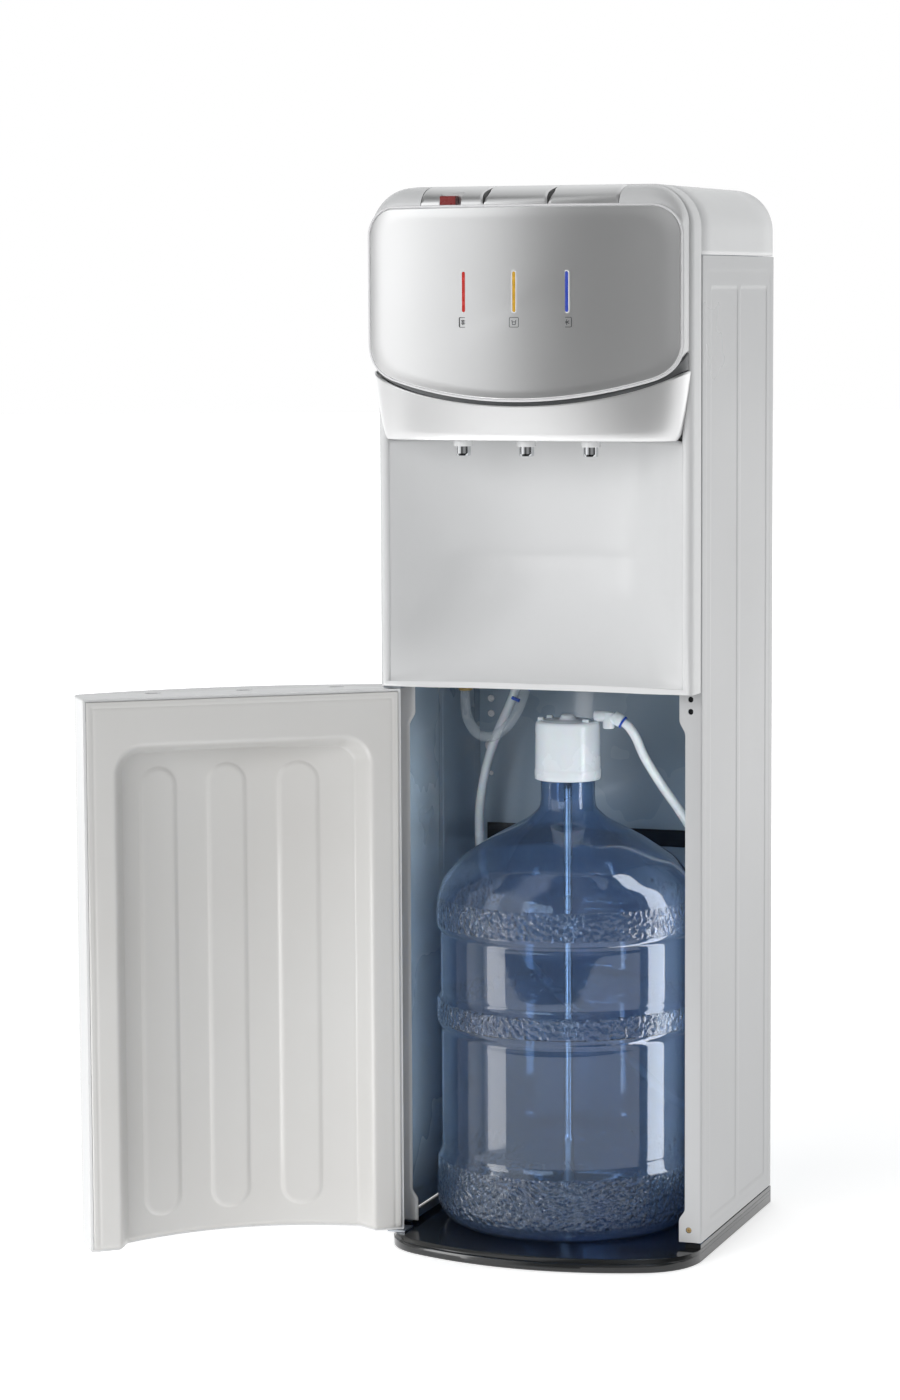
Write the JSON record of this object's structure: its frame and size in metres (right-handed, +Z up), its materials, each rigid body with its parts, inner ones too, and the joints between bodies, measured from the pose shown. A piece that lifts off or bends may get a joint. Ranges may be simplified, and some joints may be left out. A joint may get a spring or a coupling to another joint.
{
  "type": "water dispenser",
  "caption": "Floor-standing bottom-loading water dispenser with hot, room and cold push-button taps over a scooped niche and a hinged door open on its bottle bay.",
  "frame": {"origin": "centre of the base's underside, at mid-width and in the plane of the cabinet's door frame", "axes": "+Z up, -Y towards the person using it, +X to the right as they face it"},
  "size_m": [0.5906, 0.4797, 1.057],
  "materials": {
    "gloss_white_plastic": "gloss",
    "cap_white": "semi-gloss",
    "door_liner_plastic": "satin",
    "white_enamelled_steel": "smooth semi-gloss enamel",
    "zinc_plated_steel": "plated, satin",
    "slate_painted_steel": "semi-gloss",
    "satin_silver": "satin metallic paint",
    "grey_trim": "satin",
    "gloss_black_plastic": "gloss",
    "black_rubber": "matte",
    "chrome": "polished",
    "stainless_steel": "satin",
    "blue_polycarbonate": "clear tinted, moulded texture bands",
    "white_hose": "smooth, slightly translucent",
    "clear_silicone": "smooth, translucent",
    "white_foam": "matte foam",
    "aluminium": "extruded",
    "red_plastic": "semi-gloss",
    "red_indicator": "gloss",
    "amber_indicator": "gloss",
    "blue_indicator": "gloss"
  },
  "bodies": {
    "cabinet": {"back_panel": "slate_painted_steel", "base": "gloss_black_plastic", "base_rim": "gloss_black_plastic", "bay_ceiling": "zinc_plated_steel", "cold_indicator": "blue_indicator", "cold_nozzle": "chrome", "cold_tank": "stainless_steel", "cold_tank_insulation": "white_foam", "cold_tap_valve": "gloss_white_plastic", "cold_water_hose": "clear_silicone", "control_box": "gloss_black_plastic", "cord_gland": "black_rubber", "delivery_hose": "white_hose", "door_magnet": "gloss_black_plastic", "drain_cap": "gloss_white_plastic", "drain_loop_hose": "clear_silicone", "foot_1": "black_rubber", "foot_2": "black_rubber", "foot_3": "black_rubber", "foot_4": "black_rubber", "front_frame": "gloss_white_plastic", "head_panel": "satin_silver", "head_shell": "gloss_white_plastic", "head_trim_strip": "grey_trim", "heat_sink": "aluminium", "hot_indicator": "red_indicator", "hot_nozzle": "chrome", "hot_tank": "stainless_steel", "hot_tap_valve": "gloss_white_plastic", "hot_water_hose": "clear_silicone", "left_side_panel": "white_enamelled_steel", "lower_hinge": "zinc_plated_steel", "lower_hinge_pin": "stainless_steel", "niche_liner": "gloss_white_plastic", "right_side_panel": "white_enamelled_steel", "room_indicator": "amber_indicator", "room_nozzle": "chrome", "room_tap_valve": "gloss_white_plastic", "room_water_hose": "clear_silicone", "spout_fascia": "satin_silver", "suction_hose": "white_hose", "switch_plate": "gloss_black_plastic", "tap_plate": "gloss_white_plastic", "top_cover": "gloss_white_plastic", "upper_hinge": "zinc_plated_steel", "upper_hinge_pin": "stainless_steel", "water_pump": "gloss_black_plastic"},
    "door": {"door_skin": "gloss_white_plastic", "door_liner": "door_liner_plastic", "door_strike": "zinc_plated_steel"},
    "bottle": {"bottle": "blue_polycarbonate", "pump_cap": "cap_white", "dip_tube": "stainless_steel", "cap_fitting": "white_hose"},
    "hot_button": {"hot_button": "satin_silver"},
    "child_lock": {"child_lock": "red_plastic"},
    "room_button": {"room_button": "satin_silver"},
    "cold_button": {"cold_button": "satin_silver"},
    "heat_switch": {"heat_switch": "red_plastic"},
    "cool_switch": {"cool_switch": "gloss_black_plastic"}
  },
  "joints": [
    {"name": "door_hinge", "type": "hinge", "parent": "cabinet", "child": "door", "pos_m": [-0.1555, -0.0165, 0], "axis": [0, 0, -1], "range_deg": [-144, 4]},
    {"name": "bottle_slide", "type": "slide", "parent": "cabinet", "child": "bottle", "axis": [0.058, -0.9983, 0], "range_m": [0, 0.42], "deforming": ["suction_hose"]},
    {"name": "hot_press", "type": "hinge", "parent": "cabinet", "child": "hot_button", "pos_m": [0, -0.0443, 1.05], "axis": [1, 0, 0], "range_deg": [0, 5], "stiffness_Nm_per_rad": 0.5, "springref_deg": -17.19},
    {"name": "room_press", "type": "hinge", "parent": "cabinet", "child": "room_button", "pos_m": [0, -0.0443, 1.05], "axis": [1, 0, 0], "range_deg": [0, 5], "stiffness_Nm_per_rad": 0.5, "springref_deg": -17.19},
    {"name": "cold_press", "type": "hinge", "parent": "cabinet", "child": "cold_button", "pos_m": [0, -0.0443, 1.05], "axis": [1, 0, 0], "range_deg": [0, 5], "stiffness_Nm_per_rad": 0.5, "springref_deg": -17.19},
    {"name": "lock_slide", "type": "slide", "parent": "hot_button", "child": "child_lock", "axis": [1, 0, 0], "range_m": [0, 0.006], "stiffness_N_per_m": 200, "springref_m": -0.004},
    {"name": "heat_rocker", "type": "hinge", "parent": "cabinet", "child": "heat_switch", "pos_m": [0.1, 0.257, 0.89], "axis": [1, 0, 0], "range_deg": [0, 12]},
    {"name": "cool_rocker", "type": "hinge", "parent": "cabinet", "child": "cool_switch", "pos_m": [0.12, 0.257, 0.89], "axis": [1, 0, 0], "range_deg": [0, 12]}
  ]
}
